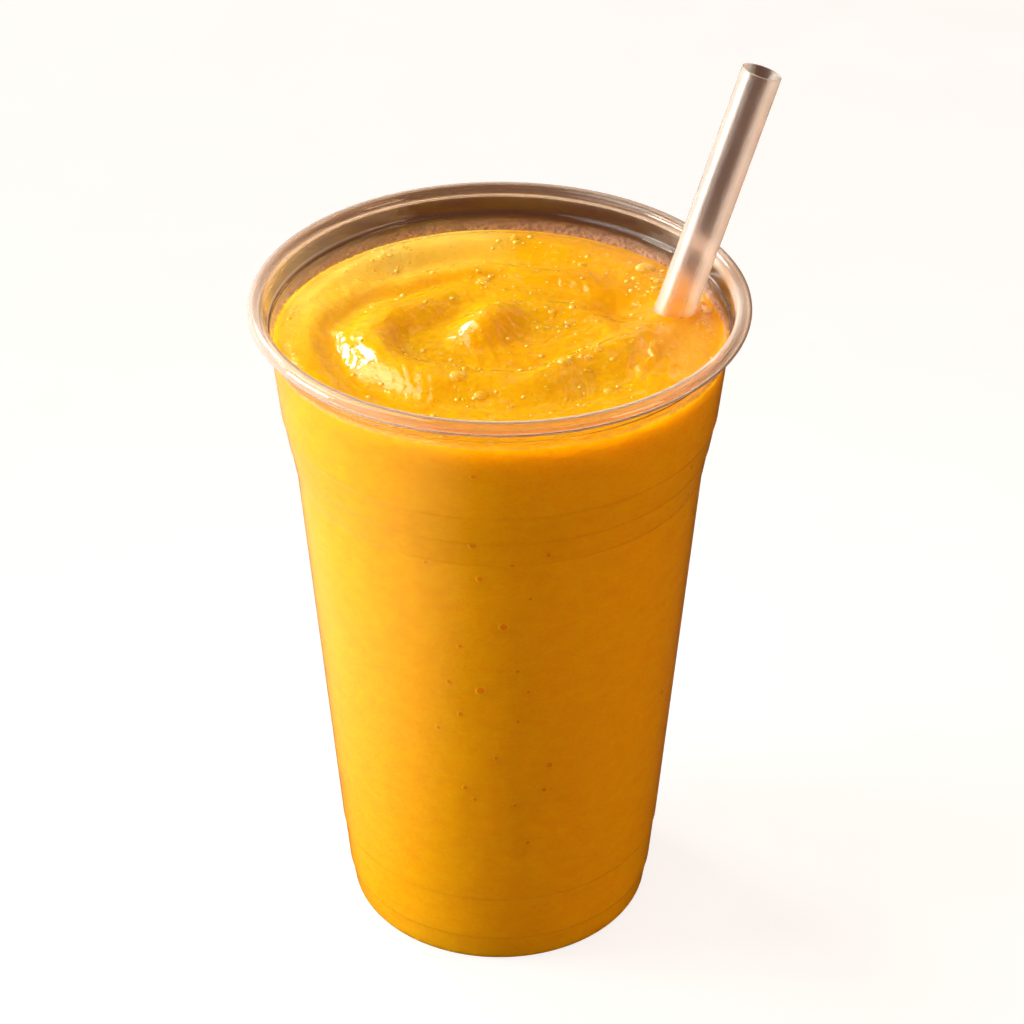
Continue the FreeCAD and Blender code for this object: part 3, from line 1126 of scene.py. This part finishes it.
class SMOOTHIE_OT_pockets(bpy.types.Operator):
    """Places the air pockets that show through the cup's wall"""

    bl_idname = "smoothie.pockets"
    bl_label = "Air pockets"

    def execute(self, context):
        placed = np.array(WALL_BUBBLES)
        chance = np.random.default_rng(5)
        around = chance.random(60) * 230.0 - 30.0
        heights = 12.0 + 112.0 * chance.random(60)
        radii = 0.45 + 0.6 * chance.random(60) ** 2
        bearing = np.radians(np.concatenate((placed[:, 0], around)))
        height = np.concatenate((placed[:, 1], heights))
        size = np.concatenate((placed[:, 2], radii))
        out = np.stack((np.cos(bearing), np.sin(bearing), np.zeros(len(bearing))), -1)
        radius = wall_radius(height) - WALL + INTO_WALL
        centres = out * radius[:, None] + np.stack((0 * height, 0 * height, height), -1)
        points, faces, from_middle = ellipsoids(
            centres, size, np.full(len(size), 0.1), 20, 6, out
        )
        piece = put_mesh("air_pockets", points, faces, pocket_material())
        layer = piece.data.attributes.new("from_middle", "FLOAT", "POINT")
        layer.data.foreach_set("value", from_middle.astype(np.float32))
        return {"FINISHED"}


class SMOOTHIE_OT_straw(bpy.types.Operator):
    """Builds the straw as an open tube with rounded lips"""

    bl_idname = "smoothie.straw"
    bl_label = "Straw"

    def execute(self, context):
        sizes = context.scene.smoothie_sizes
        top, bottom, axis = straw_line()
        outer = sizes.straw_diameter / MM / 2.0
        wall = sizes.straw_wall / MM
        length = float(np.linalg.norm(top - bottom))
        middle = outer - wall / 2.0
        upper = arc((middle, length - wall / 2.0), wall / 2.0, 180.0, 0.0, 9)
        lower = arc((middle, wall / 2.0), wall / 2.0, 0.0, -180.0, 9)
        heights = np.linspace(wall, length - wall, 40)
        outside = np.stack((np.full(40, outer), heights[::-1]), -1)
        inside = np.stack((np.full(40, outer - wall), heights), -1)
        profile = np.vstack((upper, outside, lower, inside))
        columns = 72
        angle = bearings(columns)
        side = np.cross((0.0, 0.0, 1.0), axis)
        side = side / np.linalg.norm(side)
        across = np.cross(axis, side)
        round_it = np.cos(angle)[:, None] * side + np.sin(angle)[:, None] * across
        points = (
            bottom
            + profile[:, 1, None, None] * axis
            + profile[:, 0, None, None] * round_it[None]
        )
        faces = turned_faces(len(profile), columns, loop=True)
        piece = put_mesh(
            "straw_tube", points.reshape(-1, 3), faces, straw_material()
        )
        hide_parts("straw")
        return {"FINISHED"}


def lamp(name, bearing, rise, distance, size, power, colour, beam=90.0):
    """Soft square light aimed at the middle of the drink's top, placed by its bearing
    and rise in degrees and its distance in metres. Beam is the half angle it spreads
    over, and its power is scaled so that the middle stays as bright for any beam."""
    data = bpy.data.lights.new(name, "AREA")
    data.shape = "RECTANGLE"
    data.size, data.size_y = size
    data.energy = power
    if beam < 90.0:
        half = math.radians(beam)
        data.spread = 2.0 * half
        data.energy = power * (math.tan(half) - half) / math.tan(half)
    data.color = colour
    light = bpy.data.objects.new(name, data)
    bearing, rise = math.radians(bearing), math.radians(rise)
    out = Vector(
        (
            math.cos(rise) * math.cos(bearing),
            math.cos(rise) * math.sin(bearing),
            math.sin(rise),
        )
    )
    place = Vector((0.0, 0.0, 0.13)) + distance * out
    turn = (-out).to_track_quat("-Z", "Y").to_matrix().to_4x4()
    light.matrix_world = Matrix.Translation(place) @ turn
    bpy.context.scene.collection.objects.link(light)


class SMOOTHIE_OT_stage(bpy.types.Operator):
    """Sets the pale floor, the soft lights and the camera"""

    bl_idname = "smoothie.stage"
    bl_label = "Stage"

    def execute(self, context):
        scene = context.scene
        across = np.linspace(-1.6, 1.6, 9)
        x, y = np.meshgrid(across, across, indexing="ij")
        points = np.stack((x, y, np.zeros_like(x)), -1).reshape(-1, 3)
        index = np.arange(81).reshape(9, 9)
        faces = np.stack(
            (index[:-1, :-1], index[1:, :-1], index[1:, 1:], index[:-1, 1:]), -1
        ).reshape(-1, 4)
        mesh = bpy.data.meshes.new("floor")
        mesh.from_pydata(points.tolist(), [], faces.tolist())
        mesh.materials.append(floor_material())
        floor = bpy.data.objects.new("floor", mesh)
        scene.collection.objects.link(floor)

        white, warm = (0.98, 1.0, 0.94), (1.0, 0.74, 0.50)
        lamp("key", 134.0, 32.0, 0.55, (0.15, 0.15), 2.1, white, 25.0)
        lamp("side", 182.0, 9.0, 1.0, (0.45, 0.45), 8.9, white)
        lamp("near", 175.0, 55.0, 0.28, (0.2, 0.2), 0.58, white, 40.0)
        lamp("fill", 330.0, 12.0, 1.2, (0.5, 0.5), 3.95, warm)
        scene.world = studio_world()
        scene.view_settings.view_transform = "Standard"

        lens = bpy.data.cameras.new("camera")
        lens.lens = FOCAL_LENGTH
        lens.sensor_width = 36.0
        lens.clip_start = 0.05
        camera = bpy.data.objects.new("camera", lens)
        pitch, yaw, roll = CAMERA_TURN
        forward = Vector(
            (
                math.sin(yaw) * math.cos(pitch),
                math.cos(yaw) * math.cos(pitch),
                -math.sin(pitch),
            )
        )
        level = forward.cross(Vector((0.0, 0.0, 1.0))).normalized()
        above = level.cross(forward)
        right = math.cos(roll) * level + math.sin(roll) * above
        up = math.cos(roll) * above - math.sin(roll) * level
        turn = Matrix((right, up, -forward)).transposed().to_4x4()
        camera.matrix_world = Matrix.Translation(CAMERA_PLACE) @ turn
        scene.collection.objects.link(camera)
        scene.camera = camera
        return {"FINISHED"}


class SMOOTHIE_PT_panel(bpy.types.Panel):
    bl_label = "Mango Smoothie"
    bl_idname = "SMOOTHIE_PT_panel"
    bl_space_type = "VIEW_3D"
    bl_region_type = "UI"
    bl_category = "Smoothie"

    def draw(self, context):
        layout = self.layout
        for group in (context.scene.smoothie_sizes, context.scene.smoothie_colours):
            for name in group.__annotations__:
                layout.prop(group, name)
        for step in STEPS:
            layout.operator(step.bl_idname)


STEPS = (
    SMOOTHIE_OT_cup,
    SMOOTHIE_OT_drink,
    SMOOTHIE_OT_foam,
    SMOOTHIE_OT_bubbles,
    SMOOTHIE_OT_pockets,
    SMOOTHIE_OT_straw,
    SMOOTHIE_OT_stage,
)
CLASSES = (SmoothieSizes, SmoothieColours) + STEPS + (SMOOTHIE_PT_panel,)


def register():
    for item in CLASSES:
        bpy.utils.register_class(item)
    bpy.types.Scene.smoothie_sizes = bpy.props.PointerProperty(type=SmoothieSizes)
    bpy.types.Scene.smoothie_colours = bpy.props.PointerProperty(type=SmoothieColours)


def unregister():
    del bpy.types.Scene.smoothie_colours
    del bpy.types.Scene.smoothie_sizes
    for item in reversed(CLASSES):
        bpy.utils.unregister_class(item)


def main():
    register()
    for step in STEPS:
        group, name = step.bl_idname.split(".")
        getattr(getattr(bpy.ops, group), name)()


if __name__ == "__main__":
    main()
